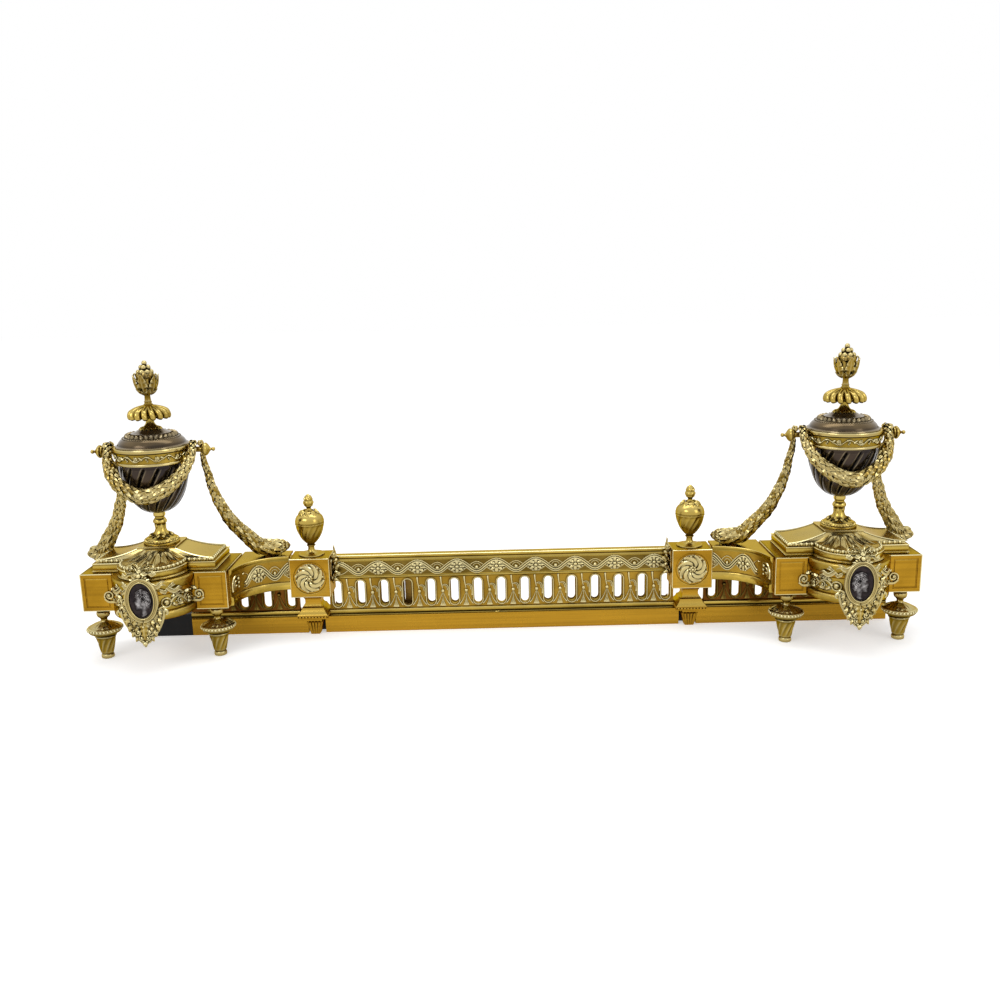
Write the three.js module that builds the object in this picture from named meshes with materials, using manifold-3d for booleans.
// An adjustable fire fender: two urn-topped fire dogs (chenets) joined by a pierced gallery rail.
// The middle rail stands still. Each chenet slides outwards on a pierced panel and an iron bar that
// run behind the middle rail. Millimetres, +Z up, the front of the fender towards -Y. The origin is
// on the floor, under the middle of the rail and at half of its depth.
import * as THREE from "three";
import { mergeVertices } from "three/addons/utils/BufferGeometryUtils.js";
import Module from "manifold-3d";

// ---- Driving dimensions ----
const CLEARANCE = 0.3; // between pieces that touch

// Rail: a cast gallery, here as heights that stack up from the floor.
const CENTRE_LENGTH = 554; // of the middle base bar
const RAIL_DEPTH = 14;
const BASE_HEIGHT = 27; // plain bar on the floor
const TORUS_HEIGHT = 10.5; // half-round moulding on the bar
const ARCADE_HEIGHT = 49.5; // pierced band
const FILLET_HEIGHT = 3.5;
const FRIEZE_HEIGHT = 24.5; // band of scrolls and rosettes
const CORNICE_HEIGHT = 9; // hollow and lip at the top
const ARCADE_SET_BACK = 3; // the pierced band lies this far behind the base bar's face
const FRIEZE_SET_BACK = 1.5;
const RAIL_PLATE = 7; // thickness of the pierced band and the frieze
const SLOT_PITCH = 36.6;
const SLOT_WIDTH = 12;
const SLOT_HEIGHT = 41;
const SLOTS_EACH_SIDE = 7; // of the middle slot
const LEFT_RAIL_LENGTH = 182; // side rails, from the newel's foot outwards
const RIGHT_RAIL_LENGTH = 298;
const IRON_STUB_LENGTH = 74; // black iron foot past the short left side rail
const IRON_STUB_HEIGHT = 35;

// Slide: the panel, the iron bar and the guides behind the middle rail.
const PANEL_THICKNESS = 4;
const PANEL_LENGTH = 205;
const BAR_THICKNESS = 5;
const BAR_HEIGHT = 27;
const BAR_REACH = 230; // how far the iron bar runs behind the middle rail at rest
const STRAP_WIDTH = 11;
const STRAP_THICKNESS = 3;
const STRAP_SPAN_LEFT = 2.5; // between the two straps, in slot pitches: one closes a slot from behind
const STRAP_SPAN_RIGHT = 3;
const SEAM = 4; // between the middle base bar and the newel's foot
const BLOCK_RUNNING = 0.8; // running clearance round the panel and the bar

// Newel: the square box at each end of the middle rail.
const NEWEL_WIDTH = 61;
const NEWEL_DEPTH = 50;
const NEWEL_BOTTOM = 66;
const NEWEL_TOP = 127;
const NEWEL_PROUD = 24.4; // how far its front stands before the rail's face
const NEWEL_WALL = 4;
const WHORL_RADIUS = 24;
const WHORL_PROUD = 6;
const NEWEL_FOOT_TOP = 23;
const NEWEL_FOOT_TOE = 14;
const NEWEL_FOOT_HEIGHT = 28;
const COLLAR_WIDTH = 47;
const COLLAR_BOTTOM = 29;
const COLLAR_TOP = 47;
const NEWEL_NECK = 24;
const LEAF_PROUD = 5;
const LEAF_FRONT_SET_BACK = 6; // from the newel's front
const LEAF_TIP_RISE = 14; // of its point above the newel
const SMALL_URN_SET_BACK = 28; // from the newel's front

// Arm: the incurved quarter between the newel and the plinth.
const ARM_RADIUS = 75.5;
const ARM_WALL = 3;
const ARM_TOP = 131;
const ARM_BOTTOM = 78;
const ARM_BAND = 12; // plain projecting band at its lower edge
const ARM_FASCIA = 8; // projecting edge at the top
const ARM_PROUD = 2.5;
const ARM_STEP_BACK = 3; // of its front face from the newel's front
const ARM_DECK = 3; // thickness of its top plate

// Plinth: two end blocks with a bowed middle between them.
const PLINTH_LENGTH = 212;
const PLINTH_DEPTH = 99.7;
const PLINTH_BOTTOM = 77;
const PLINTH_TOP = 133;
const PLINTH_WALL = 5;
const BOW_HALF = 59;
const BOW_REACH = 50;
const BOW_TOP_BAND = 13;
const BOW_COVE = 8;
const BOW_FOOT_BAND = 11;
const BOW_RECESS = 6; // the bow's frieze lies this far behind its bands
const PANEL_FRAME = 9; // plain edge round the end blocks' sunk panels
const PANEL_SINK = 1.5;
const SLAB_INSET = 16; // of the upper slab at the ends
const SLAB_FRONT_INSET = 9;
const SLAB_HEIGHT = 13;
const CAP_INSET = 5; // of the fluted cap on the slab
const CAP_EDGE = 4;
const CAP_TOP = 165.5;
const CAP_WALL = 5;
const URN_SET_BACK = 54; // of the urn's axis from the plinth's front
const FOOT_INSET = 22; // of the turned feet from the plinth's ends
const FOOT_SET_BACK = 16; // and from its front
const FOOT_PAD_HALF = 18; // pad inside the plinth's corner that seats a foot
const FOOT_PAD_THICKNESS = 8;

// Urn, as heights above the floor and radii.
const CAP_DISC_RADIUS = 31;
const BOWL_BOTTOM = 212;
const BOWL_TOP = 312;
const BOWL_RADIUS = 50;
const BOWL_WALL = 3;
const BAND_BOTTOM = 288;
const BAND_RADIUS = 54.8;
const LID_TOP = 335.5;
const LID_WALL = 4;
const DISH_RADIUS = 29.5;
const DISH_TOP = 376;
const FLAME_RADIUS = 18;
const FINIAL_TOP = 434.7;
const SPINDLE_DROP = 8; // of the spindles below the top of the bowl
const SPINDLE_REACH = 91; // from the urn's axis to the spindle's tip
const SPINDLE_RADIUS = 4;
const SPINDLE_CAP_RADIUS = 9.5;

// Garlands.
const ROPE_SLACK = 0.8; // the garlands lie this loose on the spindles
const SWAG_RADIUS = 10.5;
const SWAG_END_RADIUS = 4.5;
const SWAG_LOW = 247; // height of its lowest point
const TAIL_TOP_RADIUS = 3.3;
const INNER_TAIL_RADIUS = 12;
const OUTER_TAIL_RADIUS = 10;

// Cartouche on the bow.
const MEDALLION_HALF_WIDTH = 16.5;
const MEDALLION_HALF_HEIGHT = 25.5;
const MEDALLION_HEIGHT = 108.5; // of its centre
const MEDALLION_THICKNESS = 5;
const FRAME_WIDTH = 6.5;
const FRAME_THICKNESS = 11;
const APRON_HALF_WIDTH = 33;
const APRON_TOP = 92;
const APRON_TIP = 41;
const APRON_THICKNESS = 7;
const BOW_KNOT_TOP = 170;
const BOW_KNOT_HALF_WIDTH = 24;
const SCROLL_THICKNESS = 2.6;
const SCROLL_BOSS_RADIUS = 9.5;

// ---- Places worked out from the dimensions ----
const railFront = -RAIL_DEPTH / 2;
const railBack = RAIL_DEPTH / 2;
const torusTop = BASE_HEIGHT + TORUS_HEIGHT;
const arcadeTop = torusTop + ARCADE_HEIGHT;
const friezeBottom = arcadeTop + FILLET_HEIGHT;
const friezeTop = friezeBottom + FRIEZE_HEIGHT;
const railTop = friezeTop + CORNICE_HEIGHT;
const slotMiddle = torusTop + ARCADE_HEIGHT / 2;
const newelX = CENTRE_LENGTH / 2 + SEAM + NEWEL_FOOT_TOP / 2;
const newelInner = newelX - NEWEL_WIDTH / 2;
const newelOuter = newelX + NEWEL_WIDTH / 2;
const newelFront = railFront - NEWEL_PROUD;
const newelMiddleY = newelFront + NEWEL_DEPTH / 2;
const plinthX = newelOuter + ARM_RADIUS + PLINTH_LENGTH / 2;
const plinthBack = railFront - CLEARANCE;
const plinthFront = plinthBack - PLINTH_DEPTH;
const plinthInner = plinthX - PLINTH_LENGTH / 2;
const arcadeFront = railFront + ARCADE_SET_BACK;
const arcadeBack = arcadeFront + RAIL_PLATE;
const friezeFront = railFront + FRIEZE_SET_BACK;
const friezeBack = friezeFront + RAIL_PLATE;
const slabTop = PLINTH_TOP + SLAB_HEIGHT;
const spindleHeight = BOWL_TOP - SPINDLE_DROP;
const urnY = plinthFront + URN_SET_BACK;
const bowFront = plinthFront - BOW_REACH;
const leafFront = newelFront + LEAF_FRONT_SET_BACK;
const slideFront = railBack + CLEARANCE; // the plane that the panel and the bar slide against
const guideFront = slideFront + Math.max(PANEL_THICKNESS, BAR_THICKNESS) + CLEARANCE;
const guideBack = guideFront + STRAP_THICKNESS;
const strapLimit = newelInner - CLEARANCE - STRAP_WIDTH / 2; // how far out a strap can stand
const outerStrap = Math.floor(strapLimit / SLOT_PITCH - 0.5) + 0.5; // midway between two slots
const panelBottom = torusTop;
const panelTop = friezeTop - STRAP_WIDTH;

// ---- Smoothness ----
const FINE = 16; // sides of a large turned piece
const COARSE = 10; // sides of a small turned piece
const ARC_STEPS = 8; // of an arc in plan

// ---- Materials ----
const polishedBrass = { color: 0xc8962e, roughness: 0.3, metalness: 1 };
const toolingBrass = { color: 0xb08a35, roughness: 0.4, metalness: 1 };
const darkBronze = { color: 0x2a2320, roughness: 0.35, metalness: 0.9 };
const blackIron = { color: 0x0c0c0e, roughness: 0.6, metalness: 0.8 };
const silvered = { color: 0x5a5450, roughness: 0.35, metalness: 0.9 };

// ---- Helpers ----
const wasm = await Module();
wasm.setup();

// A closed geometry as a solid that can be joined and cut.
function solid(geometry) {
  const bare = geometry.clone();
  for (const name of ["normal", "uv"]) bare.deleteAttribute(name);
  const merged = mergeVertices(bare, 1e-4);
  return new wasm.Manifold(
    new wasm.Mesh({
      numProp: 3,
      vertProperties: new Float32Array(merged.attributes.position.array),
      triVerts: new Uint32Array(merged.index.array),
    }),
  );
}

function toGeometry(body) {
  const mesh = body.getMesh();
  const geometry = new THREE.BufferGeometry();
  geometry.setAttribute("position", new THREE.BufferAttribute(mesh.vertProperties, 3));
  geometry.setIndex(new THREE.BufferAttribute(mesh.triVerts, 1));
  geometry.computeVertexNormals();
  return geometry;
}

function join(...geometries) {
  return toGeometry(geometries.map(solid).reduce((whole, piece) => whole.add(piece)));
}

function cut(geometry, ...tools) {
  return toGeometry(tools.map(solid).reduce((whole, tool) => whole.subtract(tool), solid(geometry)));
}

function box(x0, x1, y0, y1, z0, z1) {
  const geometry = new THREE.BoxGeometry(x1 - x0, y1 - y0, z1 - z0);
  return geometry.translate((x0 + x1) / 2, (y0 + y1) / 2, (z0 + z1) / 2);
}

function shapeOf(points) {
  return new THREE.Shape(points.map(([x, y]) => new THREE.Vector2(x, y)));
}

function extruded(shape, depth, curveSegments = 12) {
  return new THREE.ExtrudeGeometry(shape, { depth, bevelEnabled: false, curveSegments });
}

// An outline in plan, raised from z0 to z1.
function plan(shape, z0, z1, curveSegments) {
  return extruded(shape, z1 - z0, curveSegments).translate(0, 0, z0);
}

// A section in depth (Y) and height (Z), drawn out along X.
function alongX(points, x0, x1) {
  const turn = new THREE.Matrix4().makeBasis(
    new THREE.Vector3(0, 1, 0),
    new THREE.Vector3(0, 0, 1),
    new THREE.Vector3(1, 0, 0),
  );
  return extruded(shapeOf(points), x1 - x0).applyMatrix4(turn).translate(x0, 0, 0);
}

// An outline in width (X) and height (Z), with its front at y0 and its back at y1.
function facing(shape, y0, y1, curveSegments) {
  return extruded(shape, y1 - y0, curveSegments).rotateX(Math.PI / 2).translate(0, y1, 0);
}

// A turned piece on a vertical axis, from [radius, height] points listed upwards.
function turned(profile, segments = FINE) {
  const points = profile.map(([radius, height]) => new THREE.Vector2(radius, height));
  return new THREE.LatheGeometry(points, segments).rotateX(Math.PI / 2);
}

// Rings of equally many points, skinned into one closed body.
function skinned(rings) {
  const count = rings[0].length;
  const middle = (ring) =>
    ring.reduce((sum, point) => sum.add(point), new THREE.Vector3()).divideScalar(count);
  const points = [...rings.flat(), middle(rings[0]), middle(rings[rings.length - 1])];
  const first = points.length - 2;
  const last = points.length - 1;
  const index = [];
  for (let i = 0; i < count; i++) {
    const next = (i + 1) % count;
    index.push(first, next, i);
    for (let level = 0; level < rings.length - 1; level++) {
      const low = level * count;
      const high = low + count;
      index.push(low + i, low + next, high + next, low + i, high + next, high + i);
    }
    const top = (rings.length - 1) * count;
    index.push(last, top + i, top + next);
  }
  const geometry = new THREE.BufferGeometry().setFromPoints(points);
  geometry.setIndex(index);
  geometry.computeVertexNormals();
  return geometry;
}

// A rope of leaves: a round tube whose radius changes along a smooth curve.
function rope(points, radiusAt, steps, sides = 6) {
  const curve = new THREE.CatmullRomCurve3(points.map((point) => new THREE.Vector3(...point)));
  const frames = curve.computeFrenetFrames(steps);
  const rings = [];
  for (let step = 0; step <= steps; step++) {
    const t = step / steps;
    const centre = curve.getPointAt(t);
    const ring = [];
    for (let side = 0; side < sides; side++) {
      const angle = (side / sides) * 2 * Math.PI;
      const out = frames.normals[step]
        .clone()
        .multiplyScalar(Math.cos(angle))
        .addScaledVector(frames.binormals[step], Math.sin(angle));
      ring.push(centre.clone().addScaledVector(out, radiusAt(t)));
    }
    rings.push(ring);
  }
  return skinned(rings);
}

// ---- Rail ----
// Section of the base bar with its half-round moulding, from the floor up.
function baseSection() {
  const torusFront = railFront + 1;
  const middle = BASE_HEIGHT + TORUS_HEIGHT / 2;
  return [
    [railFront, 0],
    [railBack, 0],
    [railBack, torusTop],
    [torusFront + 3, torusTop],
    [torusFront + 1, torusTop - 1.5],
    [torusFront, middle + 1],
    [torusFront + 1, BASE_HEIGHT + 2.5],
    [torusFront + 2.5, BASE_HEIGHT + 1.5],
    [railFront, BASE_HEIGHT],
  ];
}

// Section of the frieze with its fillet below and the cornice above.
function friezeSection() {
  return [
    [railFront, arcadeTop],
    [friezeBack, arcadeTop],
    [friezeBack, friezeTop],
    [railBack, railTop - 4],
    [railBack, railTop],
    [railFront, railTop],
    [railFront, railTop - 3],
    [friezeFront + 2, railTop - 5],
    [friezeFront, friezeTop],
    [friezeFront, friezeBottom],
    [railFront, friezeBottom - 1],
  ];
}

// One upright slot with round ends, as a cutting tool through the pierced band.
function slot(x, y0, y1) {
  const radius = SLOT_WIDTH / 2;
  const straight = SLOT_HEIGHT / 2 - radius;
  const shape = new THREE.Shape();
  shape.absarc(x, slotMiddle + straight, radius, 0, Math.PI);
  shape.absarc(x, slotMiddle - straight, radius, Math.PI, 2 * Math.PI);
  return facing(shape, y0 - 1, y1 + 1, 4);
}

// All the slots whose openings lie between x0 and x1. Slots sit at whole pitches from the middle.
function slots(x0, x1, y0, y1) {
  const found = [];
  for (let k = Math.ceil(x0 / SLOT_PITCH); k * SLOT_PITCH <= x1; k++) {
    found.push(slot(k * SLOT_PITCH, y0, y1));
  }
  return found;
}

// The middle rail. Its base bar runs under the collars, the rest stops at the collars and newels.
function centreGallery() {
  const barEnd = CENTRE_LENGTH / 2;
  const collarEnd = newelX - COLLAR_WIDTH / 2 - CLEARANCE;
  const topEnd = newelInner - CLEARANCE;
  const friezeEnd = topEnd - LEAF_PROUD - CLEARANCE;
  const reach = SLOTS_EACH_SIDE * SLOT_PITCH + 1;
  const lowerTop = NEWEL_BOTTOM - CLEARANCE;
  const lower = box(-collarEnd, collarEnd, arcadeFront, arcadeBack, torusTop - 1, lowerTop);
  const upper = box(-topEnd, topEnd, arcadeFront, arcadeBack, NEWEL_BOTTOM - 1, arcadeTop);
  const bar = box(-barEnd, barEnd, railFront, railBack, 0, BASE_HEIGHT);
  return cut(
    join(
      bar,
      alongX(baseSection(), -collarEnd, collarEnd),
      lower,
      upper,
      alongX(friezeSection(), -friezeEnd, friezeEnd),
    ),
    ...slots(-reach, reach, arcadeFront, arcadeBack),
  );
}

// A side rail, outwards from the newel's foot. It is built for the right hand.
function sideRail(length) {
  const barStart = newelX + NEWEL_FOOT_TOP / 2 + CLEARANCE;
  const collarStart = newelX + COLLAR_WIDTH / 2 + CLEARANCE;
  const topStart = newelOuter + CLEARANCE;
  const end = barStart + length;
  const margin = SLOT_WIDTH;
  return cut(
    join(
      box(barStart, end, railFront, railBack, 0, BASE_HEIGHT),
      alongX(baseSection(), collarStart, end),
      box(collarStart, end, arcadeFront, arcadeBack, torusTop - 1, NEWEL_BOTTOM - CLEARANCE),
      box(topStart, end, arcadeFront, arcadeBack, NEWEL_BOTTOM - 1, arcadeTop + 1),
      alongX(friezeSection(), topStart, end),
    ),
    ...slots(topStart, end - margin, arcadeFront, arcadeBack),
  );
}

// The pierced panel that slides behind the middle rail. Its slots meet the rail's slots at rest.
function slidePanel() {
  const outer = newelInner - CLEARANCE;
  const inner = outer - PANEL_LENGTH;
  const back = slideFront + PANEL_THICKNESS;
  return cut(
    box(inner, outer, slideFront, back, panelBottom, panelTop),
    ...slots(inner + SLOT_WIDTH, outer, slideFront, back),
  );
}

// The iron bar on the floor behind the rail. A stub steps forward where the side rail is short.
function slideBar(length, stub) {
  const inner = CENTRE_LENGTH / 2 - BAR_REACH;
  const railEnd = newelX + NEWEL_FOOT_TOP / 2 + CLEARANCE + length;
  const back = slideFront + BAR_THICKNESS;
  const bar = box(inner, railEnd, slideFront, back, 0, BAR_HEIGHT);
  if (!stub) return bar;
  const stubStart = railEnd + CLEARANCE;
  const stubEnd = stubStart + IRON_STUB_LENGTH;
  return join(
    box(inner, stubEnd, slideFront, back, 0, BAR_HEIGHT),
    box(stubStart, stubEnd, railFront + 1, back, 0, IRON_STUB_HEIGHT),
  );
}

// Two straps behind the middle rail that hold the panel and the bar, joined by a strip at the top.
function guide(strapSpan) {
  const half = STRAP_WIDTH / 2;
  const outer = outerStrap * SLOT_PITCH;
  const inner = outer - strapSpan * SLOT_PITCH;
  const barTop = BAR_HEIGHT + BLOCK_RUNNING;
  const blockBottom = panelTop + BLOCK_RUNNING;
  const strip = box(
    inner - half, outer + half, friezeBack + CLEARANCE, guideBack, blockBottom, friezeTop - CLEARANCE,
  );
  const straps = [inner, outer].flatMap((x) => [
    box(x - half, x + half, guideFront, guideBack, 1, blockBottom + 1),
    box(x - half, x + half, slideFront, guideBack, barTop, panelBottom - BLOCK_RUNNING),
  ]);
  return join(strip, ...straps);
}

// ---- Newel ----
function newelBox() {
  const back = newelFront + NEWEL_DEPTH;
  const outside = box(newelInner, newelOuter, newelFront, back, NEWEL_BOTTOM, NEWEL_TOP);
  const inside = box(
    newelInner + NEWEL_WALL, newelOuter - NEWEL_WALL,
    newelFront + NEWEL_WALL, back - NEWEL_WALL,
    NEWEL_BOTTOM + NEWEL_WALL, NEWEL_TOP - NEWEL_WALL,
  );
  const mouth = box(
    newelX - NEWEL_NECK / 4, newelX + NEWEL_NECK / 4,
    newelMiddleY - NEWEL_NECK / 4, newelMiddleY + NEWEL_NECK / 4,
    NEWEL_BOTTOM - 1, NEWEL_BOTTOM + NEWEL_WALL + 1,
  );
  return cut(outside, inside, mouth);
}

// A square block that changes width on its way up, from [half width, height] pairs.
function squareStack(x, y, levels) {
  const corners = [[-1, -1], [1, -1], [1, 1], [-1, 1]];
  return skinned(
    levels.map(([half, height]) =>
      corners.map(([sx, sy]) => new THREE.Vector3(x + sx * half, y + sy * half, height)),
    ),
  );
}

// Collar and neck under the newel, with the fluted foot below it.
function newelFoot() {
  const neck = NEWEL_NECK / 2;
  const collar = COLLAR_WIDTH / 2;
  const top = NEWEL_FOOT_TOP / 2;
  const toe = NEWEL_FOOT_TOE / 2;
  return squareStack(newelX, newelMiddleY, [
    [toe, 0],
    [top, NEWEL_FOOT_HEIGHT - 3],
    [top, COLLAR_BOTTOM],
    [collar, COLLAR_BOTTOM + 0.5],
    [collar, COLLAR_BOTTOM + 6],
    [collar - 6, COLLAR_TOP - 4],
    [neck + 2, COLLAR_TOP],
    [neck, COLLAR_TOP + 2],
    [neck, NEWEL_BOTTOM - CLEARANCE],
  ]);
}

// The turning leaf rosette on the newel's front.
function whorl() {
  const z = (NEWEL_BOTTOM + NEWEL_TOP) / 2;
  const points = [
    [0, 0], [WHORL_RADIUS, 0], [WHORL_RADIUS, 2], [WHORL_RADIUS * 0.7, WHORL_PROUD],
    [7, WHORL_PROUD - 2], [0, WHORL_PROUD + 1],
  ];
  return turned(points, COARSE).rotateX(Math.PI / 2).translate(newelX, newelFront - CLEARANCE, z);
}

// The leaf plate on the newel's inner side. The rail's frieze ends against it.
function sideLeaf() {
  const bottom = arcadeTop + CLEARANCE;
  const depth = railBack - leafFront;
  const height = NEWEL_TOP - bottom;
  const outline = [
    [leafFront, NEWEL_TOP], [leafFront + 2, NEWEL_TOP - 0.4 * height],
    [leafFront + 0.25 * depth, bottom + 5], [leafFront + 0.5 * depth, bottom],
    [railBack, bottom], [railBack, NEWEL_TOP],
    [railBack - 0.12 * depth, NEWEL_TOP + 3], [railBack - 0.25 * depth, NEWEL_TOP + LEAF_TIP_RISE],
    [railBack - 0.5 * depth, NEWEL_TOP + 3],
  ];
  const inner = newelInner - CLEARANCE;
  return alongX(outline, inner - LEAF_PROUD, inner);
}

function smallUrn() {
  const base = NEWEL_TOP + CLEARANCE;
  return turned(
    [
      [0, base], [20, base], [20, base + 2], [9, base + 3.5], [4.8, base + 8], [4.8, base + 13],
      [9.5, base + 20.5], [17, base + 32], [21.5, base + 44], [22.3, base + 52], [20, base + 60],
      [12, base + 67], [5, base + 70], [3.4, base + 73], [5, base + 76.5], [8.2, base + 82],
      [6.5, base + 89], [0, base + 95.5],
    ],
    COARSE,
  ).translate(newelX, newelFront + SMALL_URN_SET_BACK, 0);
}

// ---- Arm ----
// A quarter of a ring in plan, with the top plate that fills the corner behind it.
function arm() {
  const outer = ARM_RADIUS - 2 * CLEARANCE;
  const face = outer - ARM_WALL;
  const edge = face - ARM_PROUD;
  const centreX = newelOuter + CLEARANCE;
  const centreY = newelFront + ARM_STEP_BACK - edge;
  const wall = (inner, z0, z1) => {
    const shape = new THREE.Shape();
    shape.absarc(centreX, centreY, outer, 0, Math.PI / 2, false);
    shape.absarc(centreX, centreY, inner, Math.PI / 2, 0, true);
    return plan(shape, z0, z1, ARC_STEPS);
  };
  const deck = new THREE.Shape();
  deck.moveTo(centreX + outer, centreY);
  deck.lineTo(centreX + outer, railBack);
  deck.lineTo(centreX, railBack);
  deck.absarc(centreX, centreY, face, Math.PI / 2, 0, true);
  return join(
    wall(face, ARM_BOTTOM, ARM_TOP),
    wall(edge, ARM_BOTTOM, ARM_BOTTOM + ARM_BAND),
    wall(edge, ARM_TOP - ARM_FASCIA, ARM_TOP),
    plan(deck, ARM_TOP - ARM_DECK, ARM_TOP, ARC_STEPS),
  );
}

// ---- Plinth ----
// Outline of the plinth in plan, with its bow, brought in by the given amounts.
function plinthOutline(endInset, frontInset, backInset, bowInset) {
  const half = PLINTH_LENGTH / 2 - endInset;
  const front = plinthFront + frontInset;
  const back = plinthBack - backInset;
  const bowHalf = BOW_HALF - bowInset;
  const reach = BOW_REACH - bowInset + frontInset;
  const radius = (bowHalf ** 2 + reach ** 2) / (2 * reach);
  const rise = reach - radius; // of the arc's centre from the front line, negative behind it
  const start = Math.atan2(rise, bowHalf);
  const shape = new THREE.Shape();
  shape.moveTo(half, back);
  shape.lineTo(-half, back);
  shape.lineTo(-half, front);
  shape.absarc(0, front - rise, radius, Math.PI - start, 2 * Math.PI + start, false);
  shape.lineTo(half, front);
  return shape;
}

// The bow alone, as a drum that stands before the end blocks.
function bowDrum(inset, z0, z1) {
  return plan(plinthOutline(PLINTH_LENGTH / 2 - BOW_HALF, 0, 0, inset), z0, z1, ARC_STEPS);
}

function plinth() {
  const half = PLINTH_LENGTH / 2;
  const blocks = box(-half, half, plinthFront, plinthBack, PLINTH_BOTTOM, PLINTH_TOP);
  const bandBottom = PLINTH_TOP - BOW_TOP_BAND;
  const bow = [
    bowDrum(0, PLINTH_BOTTOM, PLINTH_BOTTOM + BOW_FOOT_BAND),
    bowDrum(BOW_RECESS, PLINTH_BOTTOM, PLINTH_TOP),
    bowDrum(BOW_RECESS / 2, bandBottom - BOW_COVE, PLINTH_TOP),
    bowDrum(0, bandBottom, PLINTH_TOP),
  ];
  const hollow = plan(
    plinthOutline(PLINTH_WALL, PLINTH_WALL, PLINTH_WALL, BOW_RECESS + PLINTH_WALL),
    PLINTH_BOTTOM - 1, PLINTH_TOP - PLINTH_WALL, ARC_STEPS,
  );
  const blockWidth = half - BOW_HALF;
  const panels = [-1, 1].map((side) => {
    const x = side * (half - blockWidth / 2 - PANEL_FRAME / 4);
    const panelHalf = blockWidth / 2 - PANEL_FRAME * 0.75;
    return box(
      x - panelHalf, x + panelHalf, plinthFront - 1, plinthFront + PANEL_SINK,
      PLINTH_BOTTOM + PANEL_FRAME, PLINTH_TOP - PANEL_FRAME,
    );
  });
  const shell = cut(join(blocks, ...bow), hollow, ...panels);
  return join(shell, footPad(-1), footPad(1)).translate(plinthX, 0, 0);
}

// A pad in the plinth's front corner, which a turned foot stands under.
function footPad(side) {
  const x = side * (PLINTH_LENGTH / 2 - FOOT_INSET);
  return box(
    x - FOOT_PAD_HALF, x + FOOT_PAD_HALF, plinthFront + PLINTH_WALL / 2, plinthFront + 2 * FOOT_SET_BACK,
    PLINTH_BOTTOM, PLINTH_BOTTOM + FOOT_PAD_THICKNESS,
  );
}

function slab() {
  const outline = (extra) =>
    plinthOutline(
      SLAB_INSET + extra, SLAB_FRONT_INSET + extra, SLAB_INSET / 2 + extra, SLAB_FRONT_INSET + extra,
    );
  const z = PLINTH_TOP + CLEARANCE;
  return cut(
    plan(outline(0), z, slabTop, ARC_STEPS),
    plan(outline(PLINTH_WALL), z - 1, slabTop - PLINTH_WALL, ARC_STEPS),
  ).translate(plinthX, 0, 0);
}

// The fluted cap's body: an edge plate that sweeps up and in to the round disc under the stem.
// A wall above zero gives the space inside it.
function capBody(wall) {
  const endInset = SLAB_INSET + CAP_INSET + wall;
  const frontInset = SLAB_FRONT_INSET + CAP_INSET + wall;
  const outline = plinthOutline(endInset, frontInset, SLAB_INSET / 2 + CAP_INSET + wall, frontInset);
  const bottom = slabTop + CLEARANCE - wall;
  const edgeTop = bottom + CAP_EDGE;
  const rise = CAP_TOP - wall - edgeTop;
  const corners = outline.extractPoints(ARC_STEPS).shape;
  const anticlockwise = THREE.ShapeUtils.isClockWise(corners) ? corners.slice().reverse() : corners;
  const base = anticlockwise.flatMap((from, i) => {
    const to = anticlockwise[(i + 1) % anticlockwise.length];
    const pieces = Math.max(1, Math.round(from.distanceTo(to) / 22));
    return Array.from({ length: pieces }, (_, k) => from.clone().lerp(to, k / pieces));
  });
  const ring = (share, z) =>
    base.map((point) => {
      const away = new THREE.Vector2(point.x, point.y - urnY);
      away.lerp(away.clone().setLength(CAP_DISC_RADIUS - wall), share);
      return new THREE.Vector3(plinthX + away.x, urnY + away.y, z);
    });
  const sweep = [0.25, 0.55, 0.8, 1].map((share) => ring(share, edgeTop + rise * share ** 2));
  return skinned([ring(0, bottom), ring(0, edgeTop), ...sweep]);
}

function cap() {
  return cut(capBody(0), capBody(CAP_WALL));
}

function turnedFoot(side) {
  const x = plinthX + side * (PLINTH_LENGTH / 2 - FOOT_INSET);
  const top = PLINTH_BOTTOM - CLEARANCE;
  return turned(
    [
      [0, 0], [6.5, 0], [9, 2], [9, 6], [7.8, 8], [9.6, 10], [14.5, 33], [15, 37], [21, 40], [24.6, 43.5],
      [24.6, 49], [14, 52], [6, 55], [4.6, 60], [6, 63], [9.4, 68], [9.4, 72], [6.5, top - 2], [6.5, top],
      [0, top],
    ],
    COARSE,
  ).translate(x, plinthFront + FOOT_SET_BACK, 0);
}

// ---- Urn ----
function atUrn(geometry) {
  return geometry.translate(plinthX, urnY, 0);
}

function stem() {
  const base = CAP_TOP + CLEARANCE;
  return atUrn(turned([
    [0, base], [CAP_DISC_RADIUS, base], [CAP_DISC_RADIUS, base + 2.5], [27.5, base + 5], [24, base + 7],
    [20.5, base + 10.5], [10, base + 14], [7.4, base + 20], [7, base + 26], [9.7, base + 29],
    [9.7, base + 33], [7, base + 36], [8.3, base + 41], [8.3, BOWL_BOTTOM - CLEARANCE],
    [0, BOWL_BOTTOM - CLEARANCE],
  ]));
}

const bowlDepth = BOWL_TOP - BOWL_BOTTOM;

// Radius of the bowl's outside at a share of its depth above the bottom.
function bowlRadius(share) {
  return BOWL_RADIUS * Math.sin(Math.acos(Math.max(0, 1 - share)) * 0.985 + 0.13) ** 0.95;
}

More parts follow.
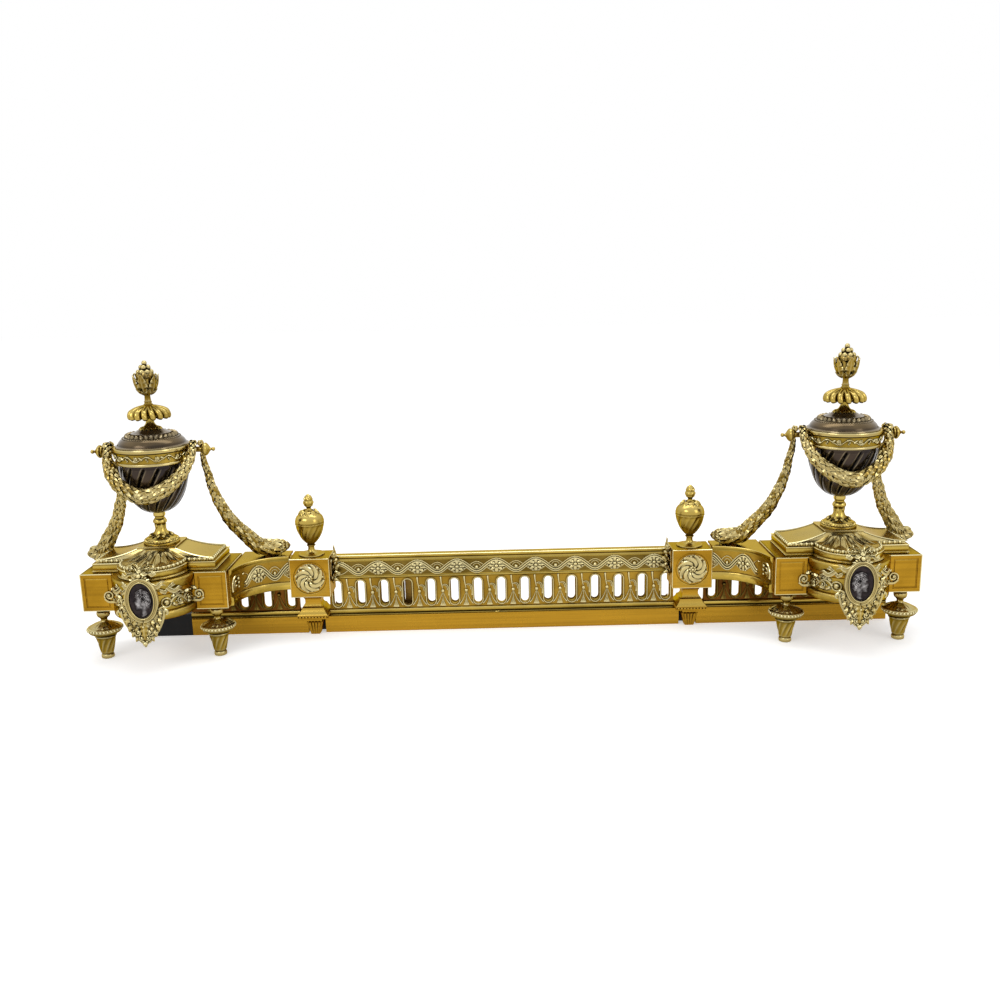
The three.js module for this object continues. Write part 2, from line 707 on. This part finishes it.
function bowl() {
  const shares = [0.02, 0.08, 0.18, 0.32, 0.48, 0.64, 0.76];
  const outside = shares.map((share) => [bowlRadius(share), BOWL_BOTTOM + share * bowlDepth]);
  const inside = outside.slice(1).map(([radius, z]) => [radius - BOWL_WALL, z + BOWL_WALL]).reverse();
  return atUrn(turned([
    [0, BOWL_BOTTOM], [8, BOWL_BOTTOM], ...outside,
    [BOWL_RADIUS, BOWL_TOP], [BOWL_RADIUS - BOWL_WALL, BOWL_TOP],
    ...inside, [0, inside[inside.length - 1][1]],
  ]));
}

function band() {
  const inner = BOWL_RADIUS + CLEARANCE;
  const low = BAND_RADIUS - 2.6;
  return atUrn(turned([
    [inner, BAND_BOTTOM], [low, BAND_BOTTOM], [low + 1, BAND_BOTTOM + 3], [low, BAND_BOTTOM + 5],
    [low + 1, BOWL_TOP - 6], [BAND_RADIUS, BOWL_TOP - 4], [BAND_RADIUS, BOWL_TOP], [inner, BOWL_TOP],
    [inner, BAND_BOTTOM],
  ]));
}

function lid() {
  const base = BOWL_TOP + CLEARANCE;
  const rise = LID_TOP - base;
  const dome = [[BAND_RADIUS - 7, 0.3], [43, 0.55], [35, 0.78], [18, 0.97]]
    .map(([radius, share]) => [radius, base + share * rise]);
  const inside = dome.map(([radius, z]) => [radius - LID_WALL, z - LID_WALL]).reverse();
  return atUrn(turned([
    [0, LID_TOP - LID_WALL], ...inside, [BAND_RADIUS - 7 - LID_WALL, base], [BAND_RADIUS - 3, base],
    [BAND_RADIUS - 3, base + 2.5], ...dome, [0, LID_TOP],
  ]));
}

// The stem on the lid with its turned-down dish.
function dish() {
  const base = LID_TOP + CLEARANCE;
  const rim = (base + DISH_TOP) / 2 + 6;
  return atUrn(turned([
    [0, base], [17, base], [15, base + 2], [7, base + 6], [5.3, base + 14], [6.5, rim - 4], [22, rim - 7],
    [DISH_RADIUS - 2, rim - 4], [DISH_RADIUS, rim + 1], [DISH_RADIUS - 5, rim + 5], [12, rim + 8],
    [6, DISH_TOP - 2], [6, DISH_TOP], [0, DISH_TOP],
  ]));
}

function flame() {
  const base = DISH_TOP + CLEARANCE;
  const height = FINIAL_TOP - base;
  return atUrn(turned([
    [0, base], [4.7, base], [4.7, base + 0.17 * height], [13, base + 0.27 * height],
    [FLAME_RADIUS, base + 0.42 * height], [FLAME_RADIUS, base + 0.56 * height],
    [14, base + 0.72 * height], [9, base + 0.88 * height], [0, FINIAL_TOP],
  ], COARSE));
}

// ---- Garland seats on the spindles ----
const ropeSeat = spindleHeight + SPINDLE_RADIUS + CLEARANCE + ROPE_SLACK;
const swagSeat = BAND_RADIUS + 2 * CLEARANCE + SWAG_END_RADIUS + ROPE_SLACK;
const tailSeat = swagSeat + SWAG_END_RADIUS + TAIL_TOP_RADIUS + ROPE_SLACK;

// A turned spindle that stands out of the urn's band, with a cap and a small ball.
function spindle(side) {
  const start = BAND_RADIUS + CLEARANCE;
  const r = SPINDLE_RADIUS;
  const cap0 = tailSeat + TAIL_TOP_RADIUS + CLEARANCE + ROPE_SLACK;
  const geometry = turned([
    [0, start], [r, start], [r, cap0], [SPINDLE_CAP_RADIUS - 2, cap0], [SPINDLE_CAP_RADIUS, cap0 + 2],
    [SPINDLE_CAP_RADIUS, cap0 + 4.5], [4, cap0 + 9], [2, cap0 + 11], [3, SPINDLE_REACH - 3.5],
    [3, SPINDLE_REACH - 1.5], [0, SPINDLE_REACH],
  ], COARSE);
  return geometry.rotateY((side * Math.PI) / 2).translate(plinthX, urnY, spindleHeight);
}

// ---- Garlands ----
function swag() {
  const lowShare = (SWAG_LOW - BOWL_BOTTOM) / bowlDepth;
  const front = bowlRadius(lowShare + 0.06) + SWAG_RADIUS + 1.2;
  const start = ropeSeat + SWAG_END_RADIUS;
  const drop = start - SWAG_LOW;
  const half = [
    [swagSeat, 4, start],
    [swagSeat, -3, start],
    [swagSeat + 1, -10.5, start - 0.08 * drop],
    [swagSeat - 0.5, -20, start - 0.27 * drop],
    [0.824 * swagSeat, -0.667 * front, start - 0.58 * drop],
    [0.478 * swagSeat, -0.883 * front, start - 0.86 * drop],
    [0, -front, SWAG_LOW],
  ];
  const other = half.slice(0, -1).reverse().map(([x, y, z]) => [-x, y, z]);
  const swell = SWAG_RADIUS - SWAG_END_RADIUS;
  const radiusAt = (t) => SWAG_END_RADIUS + swell * Math.sin(Math.PI * t) ** 1.3;
  return atUrn(rope([...half, ...other], radiusAt, 20));
}

// A tail keeps its thin radius over the spindle, then swells until shortly before its end.
function swelling(thin, thick, t) {
  return thin + (thick - thin) * THREE.MathUtils.clamp((t - 0.12) / 0.73, 0, 1) ** 0.9;
}

// The long tail that falls to the arm's top plate, and ends blunt near the small urn.
function innerTail() {
  const deck = ARM_TOP + CLEARANCE + INNER_TAIL_RADIUS;
  const x = (out) => plinthX - out;
  const fall = (share) => spindleHeight - share * (spindleHeight - deck);
  const points = [
    [x(tailSeat), urnY - 4, ropeSeat + TAIL_TOP_RADIUS],
    [x(tailSeat), urnY + 5, ropeSeat + TAIL_TOP_RADIUS],
    [x(tailSeat), urnY + 11, spindleHeight - 3],
    [x(tailSeat), urnY + 12, spindleHeight - 16],
    [x(tailSeat + 4), urnY + 13, fall(0.236)],
    [x(tailSeat + 10), urnY + 14, fall(0.405)],
    [x(tailSeat + 20), urnY + 18, fall(0.579)],
    [x(tailSeat + 33), urnY + 22, fall(0.728)],
    [x(tailSeat + 50), urnY + 27, fall(0.859)],
    [plinthInner - 28, urnY + 33, deck + 6],
    [plinthInner - 46, urnY + 38, deck],
    [newelOuter + 10, urnY + 42, deck + 0.6],
  ];
  return rope(points, (t) => swelling(TAIL_TOP_RADIUS, INNER_TAIL_RADIUS, t), 18);
}

// The short tail that curls out to the plinth's outer rear corner.
function outerTail() {
  const rest = PLINTH_TOP + CLEARANCE + OUTER_TAIL_RADIUS;
  const corner = PLINTH_LENGTH / 2;
  const fall = (share) => spindleHeight - share * (spindleHeight - rest);
  const points = [
    [tailSeat, -4, ropeSeat + TAIL_TOP_RADIUS],
    [tailSeat, 5, ropeSeat + TAIL_TOP_RADIUS],
    [tailSeat, 11, spindleHeight - 3],
    [tailSeat - 1, 11.5, spindleHeight - 15],
    [tailSeat - 8, 12, fall(0.18)],
    [tailSeat - 13, 12.5, fall(0.361)],
    [tailSeat - 7, 13, fall(0.535)],
    [tailSeat + 2, 15, fall(0.697)],
    [tailSeat + 17, 19, rest + 24],
    [corner - 5, 24, rest + 6],
    [corner + 7, 26, rest],
  ];
  return atUrn(rope(points, (t) => swelling(TAIL_TOP_RADIUS, OUTER_TAIL_RADIUS, t), 16));
}

// ---- Cartouche ----
// An upright ellipse as a shape, with an opening in it when a smaller one is given.
function oval(halfWidth, halfHeight, openWidth = 0, openHeight = 0) {
  const shape = new THREE.Shape();
  shape.absellipse(0, MEDALLION_HEIGHT, halfWidth, halfHeight, 0, 2 * Math.PI, false);
  if (openWidth > 0) {
    const opening = new THREE.Path();
    opening.absellipse(0, MEDALLION_HEIGHT, openWidth, openHeight, 0, 2 * Math.PI, true);
    shape.holes.push(opening);
  }
  return shape;
}

// Half an outline, listed from the bottom up on the right, closed with its mirror image.
function mirrored(points) {
  const left = points.filter(([x]) => x > 0).reverse().map(([x, z]) => [-x, z]);
  return shapeOf([...points, ...left]);
}

function cartouche() {
  const back = bowFront - CLEARANCE;
  const openWidth = MEDALLION_HALF_WIDTH + CLEARANCE;
  const openHeight = MEDALLION_HALF_HEIGHT + CLEARANCE;
  const ring = facing(
    oval(openWidth + FRAME_WIDTH, openHeight + FRAME_WIDTH, openWidth, openHeight),
    back - FRAME_THICKNESS, back, 12,
  );
  const backing = facing(oval(openWidth + 2, openHeight + 2), back - 2, back, 12);
  const drop = APRON_TOP - APRON_TIP;
  const apron = facing(
    mirrored([
      [0, APRON_TIP], [5, APRON_TIP + 0.06 * drop], [10, APRON_TIP + 0.27 * drop],
      [19, APRON_TIP + 0.52 * drop], [APRON_HALF_WIDTH * 0.75, APRON_TIP + 0.8 * drop],
      [APRON_HALF_WIDTH, APRON_TOP], [APRON_HALF_WIDTH * 0.8, APRON_TOP + 3], [8, APRON_TOP],
    ]),
    back - APRON_THICKNESS, back,
  );
  const knotBottom = MEDALLION_HEIGHT + openHeight;
  const rise = BOW_KNOT_TOP - knotBottom;
  const knot = facing(
    mirrored([
      [6, knotBottom], [9, knotBottom + 0.25 * rise], [BOW_KNOT_HALF_WIDTH, knotBottom + 0.35 * rise],
      [BOW_KNOT_HALF_WIDTH * 0.9, knotBottom + 0.9 * rise], [12, BOW_KNOT_TOP],
      [4, knotBottom + 0.8 * rise],
    ]),
    back - APRON_THICKNESS, back,
  );
  return cut(
    join(ring, backing, apron, knot),
    facing(oval(openWidth, openHeight), back - FRAME_THICKNESS - 1, back - 2, 12),
  ).translate(plinthX, 0, 0);
}

function medallion() {
  const back = bowFront - 2 * CLEARANCE - 2;
  return facing(oval(MEDALLION_HALF_WIDTH, MEDALLION_HALF_HEIGHT), back - MEDALLION_THICKNESS, back, 12)
    .translate(plinthX, 0, 0);
}

// The scrolling leaf mount that follows the bow's frieze and ends in a volute on each block.
function scrolls() {
  const bottom = PLINTH_BOTTOM + BOW_FOOT_BAND + 2;
  const top = PLINTH_TOP - BOW_TOP_BAND - BOW_COVE - 2;
  const middle = (bottom + top) / 2;
  const gap = BOW_RECESS - CLEARANCE;
  const drum = (extra, bowInset) =>
    plan(
      plinthOutline(PLINTH_LENGTH / 2 - BOW_HALF - extra, 0, -extra, bowInset),
      bottom - extra, top + extra, ARC_STEPS,
    );
  const outside = drum(0, gap - SCROLL_THICKNESS);
  const inside = drum(1, gap);
  const blocks = box(
    -BOW_HALF - 1, BOW_HALF + 1, plinthFront - CLEARANCE, plinthBack + 1, bottom - 1, top + 1,
  );
  const face = plinthFront - CLEARANCE;
  const bossOut = BOW_HALF - BOW_RECESS + SCROLL_BOSS_RADIUS + CLEARANCE;
  const boss = [
    [0, 0], [SCROLL_BOSS_RADIUS, 0], [SCROLL_BOSS_RADIUS - 1, SCROLL_THICKNESS],
    [0, SCROLL_THICKNESS + 1],
  ];
  const volutes = [-1, 1].map((side) =>
    turned(boss, COARSE).rotateX(Math.PI / 2).translate(side * bossOut, face, middle),
  );
  return join(cut(outside, inside, blocks), ...volutes).translate(plinthX, 0, 0);
}

// ---- Assembly ----
const fender = new THREE.Group();

function piece(group, name, geometry, finish) {
  const mesh = new THREE.Mesh(geometry, new THREE.MeshStandardMaterial(finish));
  mesh.name = name;
  group.add(mesh);
}

piece(fender, "centre_gallery", centreGallery(), polishedBrass);
piece(fender, "guide_right", guide(STRAP_SPAN_RIGHT), toolingBrass);
const leftGuide = new THREE.Group();
leftGuide.scale.x = -1;
piece(leftGuide, "guide_left", guide(STRAP_SPAN_LEFT), toolingBrass);
fender.add(leftGuide);

// Everything that slides with one chenet. The left one is the mirror image of the right one.
function chenet(hand, railLength, stub) {
  const group = new THREE.Group();
  const add = (name, geometry, finish = polishedBrass) =>
    piece(group, `${hand}_${name}`, geometry, finish);
  add("side_rail", sideRail(railLength));
  add("slide_panel", slidePanel(), toolingBrass);
  add("slide_bar", slideBar(railLength, stub), blackIron);
  add("newel_box", newelBox());
  add("newel_whorl", whorl(), toolingBrass);
  add("newel_leaf", sideLeaf(), toolingBrass);
  add("newel_foot", newelFoot());
  add("small_urn", smallUrn());
  add("arm", arm());
  add("plinth", plinth());
  add("plinth_slab", slab());
  add("fluted_cap", cap(), toolingBrass);
  add("inner_foot", turnedFoot(-1));
  add("outer_foot", turnedFoot(1));
  add("urn_stem", stem());
  add("urn_bowl", bowl(), darkBronze);
  add("urn_band", band());
  add("urn_lid", lid(), darkBronze);
  add("lid_dish", dish());
  add("flame_finial", flame(), toolingBrass);
  add("inner_spindle", spindle(-1));
  add("outer_spindle", spindle(1));
  add("front_swag", swag(), toolingBrass);
  add("inner_tail", innerTail(), toolingBrass);
  add("outer_tail", outerTail(), toolingBrass);
  add("cartouche", cartouche(), toolingBrass);
  add("medallion", medallion(), silvered);
  add("scroll_mount", scrolls(), toolingBrass);
  return group;
}

const left = chenet("left", LEFT_RAIL_LENGTH, true);
left.scale.x = -1;
fender.add(left, chenet("right", RIGHT_RAIL_LENGTH, false));

export default fender;
